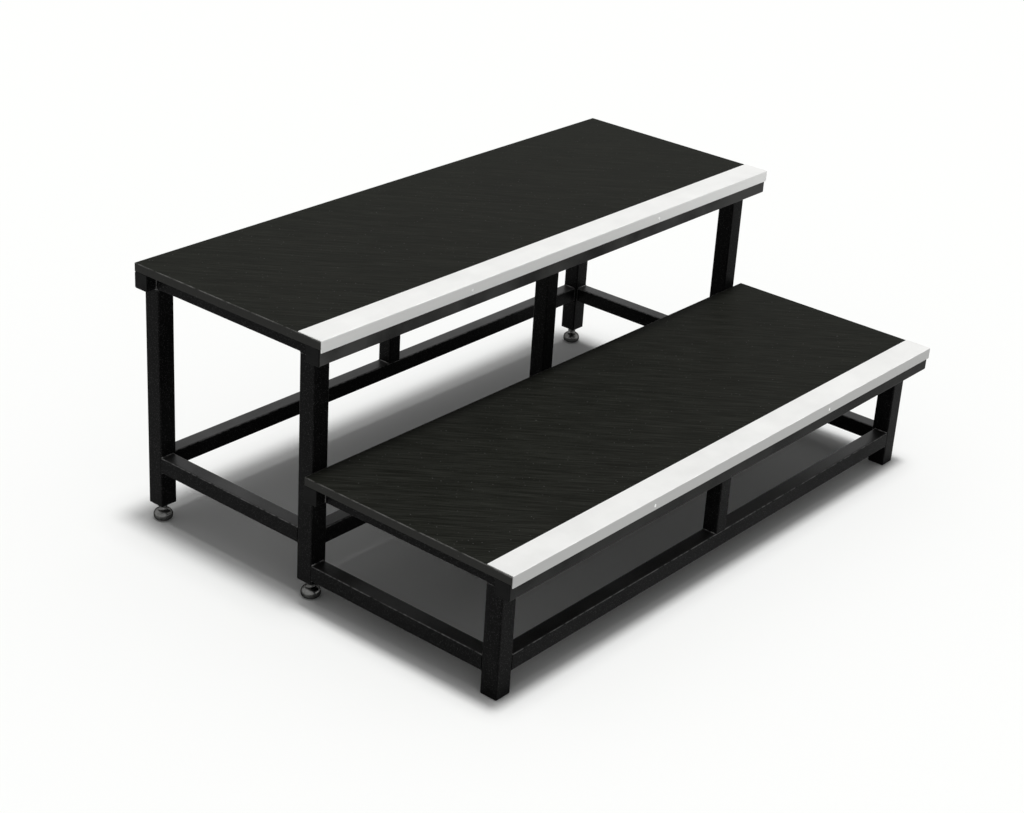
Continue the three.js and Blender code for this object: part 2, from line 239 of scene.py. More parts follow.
def fine_texture_group():
    """Two sizes of surface noise in metres: a fine height and a broad tone."""
    tree, source, sink = node_tree(
        "fine_texture", "ShaderNodeTree",
        [("Fine scale", "NodeSocketFloat", None), ("Broad scale", "NodeSocketFloat", None)],
        [("Height", "NodeSocketFloat"), ("Tone", "NodeSocketFloat")])
    place = add_node(tree, "ShaderNodeTexCoord").outputs["Object"]
    fine = add_node(
        tree, "ShaderNodeTexNoise", {"Vector": place, "Scale": source["Fine scale"], "Detail": 3})
    broad = add_node(
        tree, "ShaderNodeTexNoise", {"Vector": place, "Scale": source["Broad scale"], "Detail": 5})
    tree.links.new(fine.outputs["Fac"], sink["Height"])
    tree.links.new(broad.outputs["Fac"], sink["Tone"])
    return tree


def edge_wear_and_highlight_group():
    """Wear where hands, shoes and boxes rub an edge, and a painted highlight where light catches
    it: a broken line along the upper corners.
    """
    tree, source, sink = node_tree(
        "edge_rub", "ShaderNodeTree",
        [("Width", "NodeSocketFloat", None), ("Patch scale", "NodeSocketFloat", None),
         ("Worn from", "NodeSocketFloat", EDGE_PATCH_FROM), ("Worn to", "NodeSocketFloat", EDGE_PATCH_TO)],
        [("Mask", "NodeSocketFloat")])
    place = add_node(tree, "ShaderNodeTexCoord").outputs["Object"]
    face = add_node(tree, "ShaderNodeNewGeometry").outputs["Normal"]
    soft = add_node(
        tree, "ShaderNodeBevel", {"Radius": source["Width"]}, samples=EDGE_SAMPLES).outputs[0]
    same = add_node(tree, "ShaderNodeVectorMath", {0: soft, 1: face}, operation="DOT_PRODUCT")
    size = add_node(tree, "ShaderNodeVectorMath", {0: face}, operation="ABSOLUTE")
    along = add_node(tree, "ShaderNodeSeparateXYZ", {0: size.outputs[0]}).outputs
    sideways = combine(tree, "MAXIMUM", along["X"], along["Y"])
    square = combine(tree, "MAXIMUM", sideways, along["Z"])
    corner = combine(
        tree, "MAXIMUM",
        mask(tree, same.outputs["Value"], *EDGE_BEND), mask(tree, square, *EDGE_CORNER))
    patch = add_node(
        tree, "ShaderNodeTexNoise", {"Vector": place, "Scale": source["Patch scale"], "Detail": 6})
    broken_line = mask(tree, patch.outputs["Fac"], source["Worn from"], source["Worn to"])
    height = add_node(tree, "ShaderNodeSeparateXYZ", {0: soft}).outputs["Z"]
    # Upper corners only, where the painted highlight falls.
    upper = mask(tree, height, *EDGE_UPPER)
    wear_and_highlight = combine(tree, "MULTIPLY", combine(tree, "MULTIPLY", corner, broken_line), upper)
    tree.links.new(wear_and_highlight, sink["Mask"])
    return tree


FINE_TEXTURE = fine_texture_group()
EDGE_WEAR_AND_HIGHLIGHT = edge_wear_and_highlight_group()


def surface(name, **constants):
    """A material with a Principled shader, whose plain values are set on its own sockets."""
    material = bpy.data.materials.new(name)
    material.use_nodes = True
    shader = material.node_tree.nodes["Principled BSDF"]
    for label, value in constants.items():
        shader.inputs[label.replace("_", " ")].default_value = value
    return material, material.node_tree, shader.inputs


def use_group(tree, group, values):
    """Places a node group in a material, with its own values."""
    node = tree.nodes.new("ShaderNodeGroup")
    node.node_tree = group
    for label, value in values.items():
        node.inputs[label].default_value = value
    return node.outputs


def blend_colours(tree, factor, first, second):
    """Mixes two colours by a varying mask. Either may be a socket or a plain colour."""
    node = tree.nodes.new("ShaderNodeMix")
    node.data_type = "RGBA"
    tree.links.new(factor, node.inputs["Factor"])
    for socket, value in zip((node.inputs[6], node.inputs[7]), (first, second)):
        if isinstance(value, bpy.types.NodeSocket):
            tree.links.new(value, socket)
        else:
            socket.default_value = value
    return node.outputs[2]


def bump(tree, height, distance, strength):
    """Turns a height into a normal, for a relief of the given distance in metres."""
    node = add_node(
        tree, "ShaderNodeBump", {"Height": height, "Distance": distance, "Strength": strength})
    return node.outputs[0]


def upward(tree):
    """How far a face looks up: 1 on a level top, 0 on an upright side."""
    facing = add_node(tree, "ShaderNodeNewGeometry").outputs["Normal"]
    return add_node(tree, "ShaderNodeSeparateXYZ", {0: facing}).outputs["Z"]


def powder_coat(name, scuff_and_reflection=None):
    """Rough satin black coat, wiped glossier on top, with dust and a painted sheen on its tops,
    wear and a painted highlight on its upper edges, and scuffs and a painted reflection on the
    front rails.
    """
    material, tree, shader = surface(name, Specular_IOR_Level=0.03, Coat_Roughness=0.42)
    texture = use_group(tree, FINE_TEXTURE, {"Fine scale": 430, "Broad scale": 7})
    wear_and_highlight = use_group(
        tree, EDGE_WEAR_AND_HIGHLIGHT,
        {"Width": 0.004, "Patch scale": 90, "Worn from": 0.34, "Worn to": 0.62})["Mask"]
    tone = mask(tree, texture["Tone"], *NOISE_MIDDLE)
    plain = blend_colours(tree, tone, STEEL_BLACK, STEEL_LIGHTER)
    place = add_node(tree, "ShaderNodeTexCoord").outputs["Object"]
    cells = add_node(tree, "ShaderNodeTexVoronoi", {"Vector": place, "Scale": FLECKS_PER_METRE})
    flecks = combine(
        tree, "MULTIPLY",
        mask(tree, cells.outputs["Distance"], *FLECK_EDGE),
        mask(tree, texture["Height"], *FLECK_SHARE))
    flecked = blend_colours(tree, flecks, plain, STEEL_FLECK)
    wiped = combine(
        tree, "MULTIPLY",
        mask(tree, upward(tree), *LEVEL_FACES),
        mapped(tree, texture["Tone"], WIPED_GLOSS, NOISE_SPREAD))
    # Level tops take dust and a painted sheen in their colour; the same mask makes them glossier.
    colour = blend_colours(tree, wiped, flecked, STEEL_DUST_AND_SHEEN)
    # Front rails greyed by scuffs and a painted reflection.
    if scuff_and_reflection:
        scuff_and_reflection_patches = mapped(tree, texture["Tone"], FRONT_GREY_COVER, FRONT_GREY_PATCHES)
        colour = blend_colours(tree, scuff_and_reflection_patches, colour, scuff_and_reflection)
    roughness = mapped(tree, texture["Tone"], STEEL_ROUGHNESS, NOISE_SPREAD)
    # Upper edges lightened by wear and a painted highlight.
    tree.links.new(blend_colours(tree, wear_and_highlight, colour, STEEL_EDGE_WEAR_AND_HIGHLIGHT), shader["Base Color"])
    tree.links.new(wiped, shader["Coat Weight"])
    tree.links.new(roughness, shader["Roughness"])
    tree.links.new(bump(tree, texture["Height"], *STEEL_GRAIN), shader["Normal"])
    return material


POWDER_COAT = powder_coat("black_powder_coat")
SCUFF_AND_REFLECTION_COATS = {
    f"{tier}_front_rail": powder_coat(f"{tier}_scuffed_powder_coat", STEEL_SCUFF_AND_REFLECTION[tier])
    for tier in TIERS}
SQUARE_TUBE = tube_tree()

for node in BARS + LEGS:
    low, high = tube_box(node)
    axis = tube_axis(low, high)
    middle = (low + high) / 2
    start, end = middle.copy(), middle.copy()
    start[axis], end[axis] = low[axis], high[axis]
    bore_start, bore_end = start.copy(), end.copy()
    bore_start[axis] -= BORE_OVERRUN
    bore_end[axis] += -TUBE_WALL if node in LEGS else BORE_OVERRUN
    tube = grow(f"{node}_tube", SQUARE_TUBE, {
        "Start": start, "End": end, "Bore start": bore_start, "Bore end": bore_end,
        "Side": (high - low)[(axis + 1) % 3], "Wall": TUBE_WALL, "Corner": TUBE_CORNER,
        "Material": SCUFF_AND_REFLECTION_COATS.get(node, POWDER_COAT)})
    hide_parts(node)
    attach(tube, BODY)

# Weld beads.
# A short run of overlapping ripples along every inner corner where a tube's sawn end meets the
# face of another tube, laid by hand. Their upward crests are lightened with a painted glint.
BEAD_RADIUS = 0.0019
BEAD_PITCH = 0.0017
BEAD_END_GAP = 0.003
RIPPLE_SIZES = (0.82, 1.12)
RIPPLE_STEPS = 2
TOUCH = 0.001
WELD_SEED = 4
WELD_DARK = (0.008, 0.008, 0.008, 1)
# Painted glint on the ripples' upward crests.
WELD_PAINTED_GLINT = (0.45, 0.45, 0.44, 1)
WELD_CRESTS = (0, 0.6)
WELD_GLINT_PATCHES = (0.42, 0.6)
WELD_ROUGHNESS = (0.36, 0.2)
WELD_GRAIN = (0.00008, 0.5)


def weld_coat():
    """Black coat, with a painted glint on the upward crests of the ripples."""
    material, tree, shader = surface("coated_weld", Specular_IOR_Level=0.35)
    texture = use_group(tree, FINE_TEXTURE, {"Fine scale": 700, "Broad scale": 70})
    painted_glint = combine(
        tree, "MULTIPLY",
        mask(tree, upward(tree), *WELD_CRESTS), mask(tree, texture["Tone"], *WELD_GLINT_PATCHES))
    roughness = mapped(tree, texture["Tone"], WELD_ROUGHNESS, NOISE_MIDDLE)
    tree.links.new(blend_colours(tree, painted_glint, WELD_DARK, WELD_PAINTED_GLINT), shader["Base Color"])
    tree.links.new(roughness, shader["Roughness"])
    tree.links.new(bump(tree, texture["Height"], *WELD_GRAIN), shader["Normal"])
    return material


def inside(point, low, high):
    """Whether a point lies in a box."""
    return all(low[i] <= point[i] <= high[i] for i in range(3))


def end_seams(low, high, axis, place, probe, other):
    """Edges of one end of a tube that lie within the face of the other tube."""
    across = [i for i in range(3) if i != axis]
    found = []
    for i, j in (across, across[::-1]):
        for edge, away in ((low[i], -1), (high[i], 1)):
            beyond = probe.copy()
            beyond[i] = edge + away * BEAD_RADIUS
            if not inside(beyond, *other):
                continue
            first, last = beyond.copy(), beyond.copy()
            first[axis] = last[axis] = place
            first[i] = last[i] = edge
            first[j] = low[j] + BEAD_END_GAP
            last[j] = high[j] - BEAD_END_GAP
            found.append((first, last))
    return found


def seams(nodes):
    """The lines to weld, at both ends of each tube, wherever an end butts on another tube."""
    boxes = {node: tube_box(node) for node in BARS + LEGS}
    found = []
    for node in nodes:
        low, high = boxes[node]
        axis = tube_axis(low, high)
        others = [box for other, box in boxes.items() if other != node]
        for place, outward in ((low[axis], -1), (high[axis], 1)):
            probe = (low + high) / 2
            probe[axis] = place + outward * TOUCH
            for other in others:
                if inside(probe, *other):
                    found += end_seams(low, high, axis, place, probe, other)
    return found


def bead_tree():
    """Ripples set along loose edges, each a ball of a slightly different size from the next."""
    tree, source, sink = node_tree(
        "weld_bead", "GeometryNodeTree",
        [("Geometry", "NodeSocketGeometry", None), ("Radius", "NodeSocketFloat", BEAD_RADIUS),
         ("Pitch", "NodeSocketFloat", BEAD_PITCH), ("Seed", "NodeSocketInt", WELD_SEED),
         ("Material", "NodeSocketMaterial", None)],
        [("Geometry", "NodeSocketGeometry")])
    path = add_node(tree, "GeometryNodeMeshToCurve", {"Mesh": source["Geometry"]})
    steps = add_node(
        tree, "GeometryNodeResampleCurve",
        {"Curve": path.outputs[0], "Length": source["Pitch"]}, mode="LENGTH")
    ball = add_node(
        tree, "GeometryNodeMeshIcoSphere",
        {"Radius": source["Radius"], "Subdivisions": RIPPLE_STEPS})
    size = add_node(tree, "FunctionNodeRandomValue", {"Seed": source["Seed"]}, data_type="FLOAT")
    size.inputs[2].default_value, size.inputs[3].default_value = RIPPLE_SIZES
    ripples = add_node(
        tree, "GeometryNodeInstanceOnPoints",
        {"Points": steps.outputs[0], "Instance": ball.outputs[0], "Scale": size.outputs[1]})
    real = add_node(tree, "GeometryNodeRealizeInstances", {"Geometry": ripples.outputs[0]})
    finish_tree(tree, real.outputs[0], source["Material"], sink)
    return tree


WELD_BEAD = bead_tree()
WELD_COAT = weld_coat()

for tier in TIERS:
    lines = seams([node for node in BARS + LEGS if node.startswith(tier)])
    wires = bpy.data.meshes.new(f"{tier}_seams")
    ends = [point for line in lines for point in line]
    wires.from_pydata(ends, [(2 * i, 2 * i + 1) for i in range(len(lines))], [])
    welds = grow(f"{tier}_frame_welds", WELD_BEAD, {
        "Radius": BEAD_RADIUS, "Pitch": BEAD_PITCH, "Seed": WELD_SEED,
        "Material": WELD_COAT}, wires)
    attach(welds, BODY)

# Board tabs.
# Flat steel tabs, sheared from strip, drilled and welded flush with the tops of the long rails, so
# that the boards can be screwed down from below.
TABS_PER_RAIL = 4
TAB_SIZE = Vector((0.030, 0.026, 0.003))
TAB_EASE = 0.0006
TAB_STEPS = 2
ROUND_PROFILE = 0.5


def shape_piece(name, shape, material):
    """Makes a piece from a drawn shape, smooth but for its sharp corners."""
    mesh = bpy.data.meshes.new(name)
    shape.to_mesh(mesh)
    shape.free()
    mesh.materials.append(material)
    for polygon in mesh.polygons:
        polygon.use_smooth = True
    mesh.set_sharp_from_angle(angle=SHARP_ANGLE)
    piece = bpy.data.objects.new(name, mesh)
    bpy.context.scene.collection.objects.link(piece)
    return settle(piece)


def board_tab():
    """One tab with eased edges, with the middle of its top face at the origin."""
    shape = bmesh.new()
    place = Matrix.Translation((0, 0, -TAB_SIZE.z / 2)) @ Matrix.Diagonal(TAB_SIZE).to_4x4()
    bmesh.ops.create_cube(shape, size=1, matrix=place)
    bmesh.ops.bevel(
        shape, geom=shape.edges[:], offset=TAB_EASE, segments=TAB_STEPS, profile=ROUND_PROFILE,
        affect="EDGES")
    return shape_piece("tab", shape, POWDER_COAT)


def scatter_tree():
    """Copies of one shape, set on the points of the piece."""
    tree, source, sink = node_tree(
        "set_out", "GeometryNodeTree",
        [("Geometry", "NodeSocketGeometry", None), ("Shape", "NodeSocketObject", None),
         ("Material", "NodeSocketMaterial", None)],
        [("Geometry", "NodeSocketGeometry")])
    shape = add_node(tree, "GeometryNodeObjectInfo", {"Object": source["Shape"]})
    points = add_node(tree, "GeometryNodeMeshToPoints", {"Mesh": source["Geometry"]})
    copies = add_node(
        tree, "GeometryNodeInstanceOnPoints",
        {"Points": points.outputs[0], "Instance": shape.outputs["Geometry"]})
    real = add_node(tree, "GeometryNodeRealizeInstances", {"Geometry": copies.outputs[0]})
    finish_tree(tree, real.outputs[0], source["Material"], sink)
    return tree


SET_OUT = scatter_tree()


def set_out(name, shape, places, material):
    """Places copies of a shape and removes the original."""
    points = bpy.data.meshes.new(f"{name}_places")
    points.from_pydata(places, [], [])
    piece = grow(name, SET_OUT, {"Shape": shape, "Material": material}, points)
    bpy.data.objects.remove(shape)
    return piece


def tab_places(tier):
    """Middles of the tabs' top faces, behind the front rail and in front of the rear one."""
    front = tube_box(f"{tier}_front_rail")[1]
    rear = tube_box(f"{tier}_rear_rail")[0]
    left, right = (corner[0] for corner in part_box(f"{tier}_board"))
    spacing = (right - left) / TABS_PER_RAIL
    xs = [left + (i + 0.5) * spacing for i in range(TABS_PER_RAIL)]
    ys = [front.y + TAB_SIZE.y / 2, rear.y - TAB_SIZE.y / 2]
    return [Vector((x, y, front.z)) for x in xs for y in ys]


for tier in TIERS:
    tabs = set_out(f"{tier}_board_tabs", board_tab(), tab_places(tier), POWDER_COAT)
    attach(tabs, BODY)

# End caps and glides.
# Moulded black plastic plugs, pressed into the open ends of the long rails and of the two low legs.
PLASTIC_BLACK = (0.0045, 0.0045, 0.0045, 1)
# Upper edges: wear and a painted highlight.
PLASTIC_EDGE_WEAR_AND_HIGHLIGHT = (0.02, 0.02, 0.02, 1)
PLASTIC_ROUGHNESS = (0.42, 0.6)
PLASTIC_GRAIN = (0.00005, 0.4)


def moulded_plastic():
    """Black plastic with a fine moulded grain, paler on its upper edges from wear and a painted
    highlight.
    """
    material, tree, shader = surface("black_moulded_plastic", Specular_IOR_Level=0.05)
    texture = use_group(tree, FINE_TEXTURE, {"Fine scale": 1600, "Broad scale": 60})
    wear_and_highlight = use_group(tree, EDGE_WEAR_AND_HIGHLIGHT, {"Width": 0.0012, "Patch scale": 90})["Mask"]
    colour = blend_colours(tree, wear_and_highlight, PLASTIC_BLACK, PLASTIC_EDGE_WEAR_AND_HIGHLIGHT)
    roughness = mapped(tree, texture["Tone"], PLASTIC_ROUGHNESS, NOISE_SPREAD)
    tree.links.new(colour, shader["Base Color"])
    tree.links.new(roughness, shader["Roughness"])
    tree.links.new(bump(tree, texture["Height"], *PLASTIC_GRAIN), shader["Normal"])
    return material


def coat_node(node, material):
    """Gives a CAD node's own mesh a better finish."""
    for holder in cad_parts[node].material_slots:
        holder.material = material


MOULDED_PLASTIC = moulded_plastic()
CAPS = [
    f"{tier}_{rail}_{side}_cap"
    for tier in TIERS for rail in ("front_rail", "rear_rail") for side in ("left", "right")]
for node in CAPS + ["lower_left_glide", "lower_right_glide"]:
    coat_node(node, MOULDED_PLASTIC)

# Levelling feet.
# A nut plate in the leg's end, a plated screw with a hexagon collar, a polished plated dome that
# the screw turns in, and a rubber pad let into the dome's underside.
TURN_STEPS = 64
THREAD_PITCH = 0.00175
THREAD_DEPTH = 0.0009
RINGS_PER_PITCH = 4
STEM_RADIUS = 0.006
STEM_TIP = 0.0012
PIVOT_RADIUS = 0.0045
SKIRT_RADIUS = 0.0115
SKIRT_HEIGHT = 0.006
SKIRT_STEPS = 8
COLLAR_FLAT = 0.0085
COLLAR_HEIGHT = 0.007
COLLAR_EASE = 0.0008
DOME_BULGE = 0.0105
DOME_FALL = 0.0045
DOME_LOWER_STEPS = 14
DOME_UPPER_STEPS = 16
RIM_INSET = 0.005
PAD_EASE = 0.001
PAD_STEPS = 5
SEAT_GAP = 0.0001
FIT_GAP = 0.0003
PLATE_BRIGHT = (0.155, 0.155, 0.151, 1)
PLATE_DULL = (0.06, 0.06, 0.058, 1)
PLATE_RIM = (0.05, 0.05, 0.05, 1)
RUBBER_BLACK = (0.006, 0.006, 0.006, 1)
RUBBER_DUSTY = (0.03, 0.029, 0.027, 1)
BARE_STEEL = (0.3, 0.3, 0.29, 1)
BARE_STEEL_DARK = (0.16, 0.155, 0.15, 1)


def patchy_finish(
        name, fine, broad, colours, patches, roughness, grain, spread=NOISE_SPREAD, **constants):
    """Soft patches of two colours, a roughness that goes with them, and a fine grain."""
    material, tree, shader = surface(name, **constants)
    texture = use_group(tree, FINE_TEXTURE, {"Fine scale": fine, "Broad scale": broad})
    tone = mask(tree, texture["Tone"], *patches)
    tree.links.new(blend_colours(tree, tone, *colours), shader["Base Color"])
    tree.links.new(mapped(tree, texture["Tone"], roughness, spread), shader["Roughness"])
    tree.links.new(bump(tree, texture["Height"], *grain), shader["Normal"])
    return material


POLISHED_PLATE = patchy_finish(
    "polished_plate", fine=500, broad=70, colours=(PLATE_BRIGHT, PLATE_DULL), patches=(0.4, 0.75),
    roughness=(0.2, 0.32), spread=(0.35, 0.7), grain=(0.00003, 0.3),
    Metallic=1.0, Specular_Tint=PLATE_RIM)
BARE_PLATE = patchy_finish(
    "bare_steel", fine=800, broad=90, colours=(BARE_STEEL, BARE_STEEL_DARK), patches=NOISE_MIDDLE,
    roughness=(0.35, 0.6), grain=(0.00005, 0.5), Metallic=1.0)
PAD_RUBBER = patchy_finish(
    "pad_rubber", fine=1200, broad=120, colours=(RUBBER_BLACK, RUBBER_DUSTY), patches=(0.5, 0.8),
    roughness=(0.7, 0.9), grain=(0.00008, 0.5), Specular_IOR_Level=0.25)


def curve_points(start, handle, end, steps):
    """Points of a quadratic curve after its start, in radius and height."""
    found = []
    for i in range(1, steps + 1):
        t = i / steps
        found.append(tuple(
            (1 - t) ** 2 * a + 2 * t * (1 - t) * b + t * t * c
            for a, b, c in zip(start, handle, end)))
    return found


def ring(shape, centre, height, radius_at, steps=TURN_STEPS):
    """Points round a vertical axis, at a radius that may change with the angle."""
    angles = [2 * math.pi * i / steps for i in range(steps)]
    return [
        shape.verts.new((
            centre[0] + radius_at(a) * math.cos(a),
            centre[1] + radius_at(a) * math.sin(a),
            height))
        for a in angles]


def skin(shape, rings, steps=TURN_STEPS):
    """Faces from each ring to the next, where a ring of one point is a pole."""
    for lower, upper in zip(rings, rings[1:]):
        for i in range(steps):
            corners = [lower[i % len(lower)], lower[(i + 1) % len(lower)],
                       upper[(i + 1) % len(upper)], upper[i % len(upper)]]
            shape.faces.new(list(dict.fromkeys(corners)))


def turned(name, centre, profile, material, steps=TURN_STEPS):
    """A closed solid of revolution about a vertical axis, from (radius, height) points."""
    shape = bmesh.new()
    rings = []
    for radius, height in profile:
        if radius == 0:
            rings.append([shape.verts.new((*centre, height))])
        else:
            rings.append(ring(shape, centre, height, lambda a: radius, steps))
    skin(shape, rings, steps)
    bmesh.ops.recalc_face_normals(shape, faces=shape.faces[:])
    return shape_piece(name, shape, material)


def hexagon(angle):
    """Radius of the collar's hexagon at an angle."""
    turn = (angle + math.pi / 6) % (math.pi / 3) - math.pi / 6
    return COLLAR_FLAT / math.cos(turn)


def foot_screw(name, centre, bottom, top, dome_top):
    """Pivot, flared skirt, hexagon collar and a stem with a real helical thread."""
    seat = dome_top + SEAT_GAP
    collar_low = dome_top + SKIRT_HEIGHT
    collar_high = collar_low + COLLAR_HEIGHT
    thread_top = top - STEM_TIP
    root = STEM_RADIUS - THREAD_DEPTH
    shape = bmesh.new()
    rings = []

    def add_ring(height, radius_at):
        rings.append(ring(shape, centre, height, radius_at))

    def thread_radius(angle, height):
        phase = (height / THREAD_PITCH - angle / (2 * math.pi)) % 1
        return root + THREAD_DEPTH * (1 - abs(2 * phase - 1))

    skirt = curve_points(
        (SKIRT_RADIUS, seat), (COLLAR_FLAT, dome_top + SKIRT_HEIGHT / 3),
        (COLLAR_FLAT, collar_low), SKIRT_STEPS)
    pivot = [(PIVOT_RADIUS, bottom), (PIVOT_RADIUS, seat)]
    for radius, height in [*pivot, (SKIRT_RADIUS, seat), *skirt]:
        add_ring(height, lambda a: radius)
    add_ring(collar_low + SEAT_GAP, lambda a: min(hexagon(a), COLLAR_FLAT + COLLAR_EASE))
    add_ring(collar_low + COLLAR_EASE, hexagon)
    add_ring(collar_high - COLLAR_EASE, hexagon)
    add_ring(collar_high, lambda a: min(hexagon(a), COLLAR_FLAT + COLLAR_EASE / 2))
    add_ring(collar_high, lambda a: root)
    levels = int((thread_top - collar_high) / THREAD_PITCH * RINGS_PER_PITCH)
    for level in range(1, levels):
        height = collar_high + level * (thread_top - collar_high) / levels
        add_ring(height, lambda a: thread_radius(a, height))
    add_ring(thread_top, lambda a: root)
    add_ring(top, lambda a: root - STEM_TIP)
    skin(shape, rings)
    shape.faces.new(rings[0][::-1])
    shape.faces.new(rings[-1])
    bmesh.ops.recalc_face_normals(shape, faces=shape.faces[:])
    return shape_piece(name, shape, POLISHED_PLATE)


def foot_dome(name, centre, wide, rim, crown, pad_top, pad_radius, pivot_end):
    """A bun-shaped shell with a socket for the pivot above and a recess for the pad below."""
    recess = pad_radius + FIT_GAP
    socket = PIVOT_RADIUS + FIT_GAP
    edge = (wide - RIM_INSET, rim)
    bulge = (wide, DOME_BULGE)
    profile = [(0, pad_top), (recess, pad_top), (recess, rim), edge]
    profile += curve_points(edge, (wide, rim), bulge, DOME_LOWER_STEPS)
    profile += curve_points(
        bulge, (wide, crown - DOME_FALL), (SKIRT_RADIUS, crown), DOME_UPPER_STEPS)
    profile += [(socket, crown), (socket, pivot_end - FIT_GAP), (0, pivot_end - FIT_GAP)]
    return turned(name, centre, profile, POLISHED_PLATE)


def foot_pad(name, centre, radius, low, high):
    """A rubber disc with its lower edge eased."""
    flat = (radius - PAD_EASE, low)
    eased = curve_points(flat, (radius, low), (radius, low + PAD_EASE), PAD_STEPS)
    profile = [(0, low), flat, *eased, (radius, high), (0, high)]
    return turned(name, centre, profile, PAD_RUBBER)


for corner in FEET:
    dome_low, dome_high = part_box(f"{corner}_foot_dome")
    pad_low, pad_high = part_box(f"{corner}_foot_pad")
    screw_low, screw_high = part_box(f"{corner}_foot_screw")
    centre = ((dome_low[0] + dome_high[0]) / 2, (dome_low[1] + dome_high[1]) / 2)
    pad_radius = (pad_high[0] - pad_low[0]) / 2
    dome = foot_dome(
        f"{corner}_dome", centre, (dome_high[0] - dome_low[0]) / 2, dome_low[2], dome_high[2],
        pad_high[2], pad_radius, screw_low[2])
    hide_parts(f"{corner}_foot_dome")
    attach(dome, f"{corner}_foot")

    pad = foot_pad(f"{corner}_pad", centre, pad_radius, pad_low[2], pad_high[2])
    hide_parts(f"{corner}_foot_pad")
    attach(pad, f"{corner}_foot")

    screw = foot_screw(
        f"{corner}_threaded_screw", centre, screw_low[2], screw_high[2], dome_high[2])
    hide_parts(f"{corner}_foot_screw")
    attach(screw, f"{corner}_screw")
    coat_node(f"{corner}_foot_nut", BARE_PLATE)

# Boards.
# Black-faced sheet, sawn to size, its edges lipped and lightly eased by hand. It lies on the rails,
# and is wiped down often, which leaves faint slanting streaks.
BOARD_EASE = 0.0011
BOARD_STEPS = 3
SAME_POINT = 0.000001
NOSING_THICKNESS = 0.002
REBATE_GAP = 0.0003
BOARD_FACE = (0.0066, 0.007, 0.0054, 1)
BOARD_STREAK = (0.0222, 0.023, 0.0195, 1)
BOARD_EDGE = (0.036, 0.0358, 0.034, 1)
# Upper corners: wear and a painted highlight.
BOARD_EDGE_WEAR_AND_HIGHLIGHT = (0.19, 0.188, 0.182, 1)
BOARD_DUST = (0.1, 0.1, 0.096, 1)
BOARD_ROUGHNESS = (0.5, 0.7)
BOARD_GRAIN = (0.00015, 0.5)
WIPE_TURN = math.radians(-51)
WIPE_SIZE = (0.085, 0.0026, 1)
WIPE_STREAKS = (0.4, 0.68)
SPECKS_PER_METRE = 95
SPECK_EDGE = (0.13, 0.05)
SPECK_SHARE = (0.47, 0.6)
UPRIGHT_FACES = (0.75, 0.3)


def black_board():
    """Black facing with wiping streaks and specks of dust, and paler edges with wear and a painted
    highlight on the upper corners.
    """
    material, tree, shader = surface("black_board", Specular_IOR_Level=0.015)
    texture = use_group(tree, FINE_TEXTURE, {"Fine scale": 420, "Broad scale": 3})
    wear_and_highlight = use_group(
        tree, EDGE_WEAR_AND_HIGHLIGHT,
        {"Width": 0.0045, "Patch scale": 60, "Worn from": 0.3, "Worn to": 0.6})["Mask"]
    place = add_node(tree, "ShaderNodeTexCoord").outputs["Object"]
    wiped = add_node(
        tree, "ShaderNodeMapping",
        {"Vector": place, "Rotation": (0, 0, WIPE_TURN), "Scale": WIPE_SIZE},
        vector_type="TEXTURE")
    streaks = add_node(
        tree, "ShaderNodeTexNoise",
        {"Vector": wiped.outputs[0], "Scale": 1, "Detail": 4, "Roughness": 0.6}).outputs["Fac"]
    specks = add_node(tree, "ShaderNodeTexVoronoi", {"Vector": place, "Scale": SPECKS_PER_METRE})
    dust = combine(
        tree, "MULTIPLY",
        mask(tree, specks.outputs["Distance"], *SPECK_EDGE),
        mask(tree, texture["Height"], *SPECK_SHARE))
    level = add_node(tree, "ShaderNodeMath", {0: upward(tree)}, operation="ABSOLUTE").outputs[0]
    edge = mask(tree, level, *UPRIGHT_FACES)
    streaked = blend_colours(tree, mask(tree, streaks, *WIPE_STREAKS), BOARD_FACE, BOARD_STREAK)
    lipped = blend_colours(tree, edge, streaked, BOARD_EDGE)
    dusty = blend_colours(tree, dust, lipped, BOARD_DUST)
    roughness = mapped(tree, streaks, BOARD_ROUGHNESS, NOISE_MIDDLE)
    tree.links.new(blend_colours(tree, wear_and_highlight, dusty, BOARD_EDGE_WEAR_AND_HIGHLIGHT), shader["Base Color"])
    tree.links.new(roughness, shader["Roughness"])
    tree.links.new(bump(tree, texture["Height"], *BOARD_GRAIN), shader["Normal"])
    return material


def rebated_panel(name, low, high, step_y, step_z, material):
    """A board whose top is cut down in front of step_y, with its other edges eased."""
    shape = bmesh.new()
    step = [(step_y, high[2]), (step_y, step_z)]
    profile = [
        (low[1], low[2]), (high[1], low[2]), (high[1], high[2]), *step, (low[1], step_z)]
    rings = [[shape.verts.new((x, y, z)) for y, z in profile] for x in (low[0], high[0])]
    shape.faces.new(rings[0][::-1])
    shape.faces.new(rings[1])
    count = len(profile)
    for i in range(count):
        j = (i + 1) % count
        shape.faces.new((rings[0][i], rings[0][j], rings[1][j], rings[1][i]))
    bmesh.ops.recalc_face_normals(shape, faces=shape.faces[:])
    rebate = {end[profile.index(point)] for end in rings for point in step}
    eased = [edge for edge in shape.edges if not rebate.issuperset(edge.verts)]
    bmesh.ops.bevel(
        shape, geom=eased, offset=BOARD_EASE, segments=BOARD_STEPS, profile=ROUND_PROFILE,
        affect="EDGES")
    bmesh.ops.dissolve_degenerate(shape, dist=SAME_POINT, edges=shape.edges[:])
    return shape_piece(name, shape, material)


BLACK_BOARD = black_board()
for tier in TIERS:
    low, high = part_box(f"{tier}_board")
    nosing_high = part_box(f"{tier}_nosing")[1]
    panel = rebated_panel(
        f"{tier}_panel", low, high, nosing_high[1] + REBATE_GAP,
        nosing_high[2] - NOSING_THICKNESS, BLACK_BOARD)
    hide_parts(f"{tier}_board")
    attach(panel, BODY)

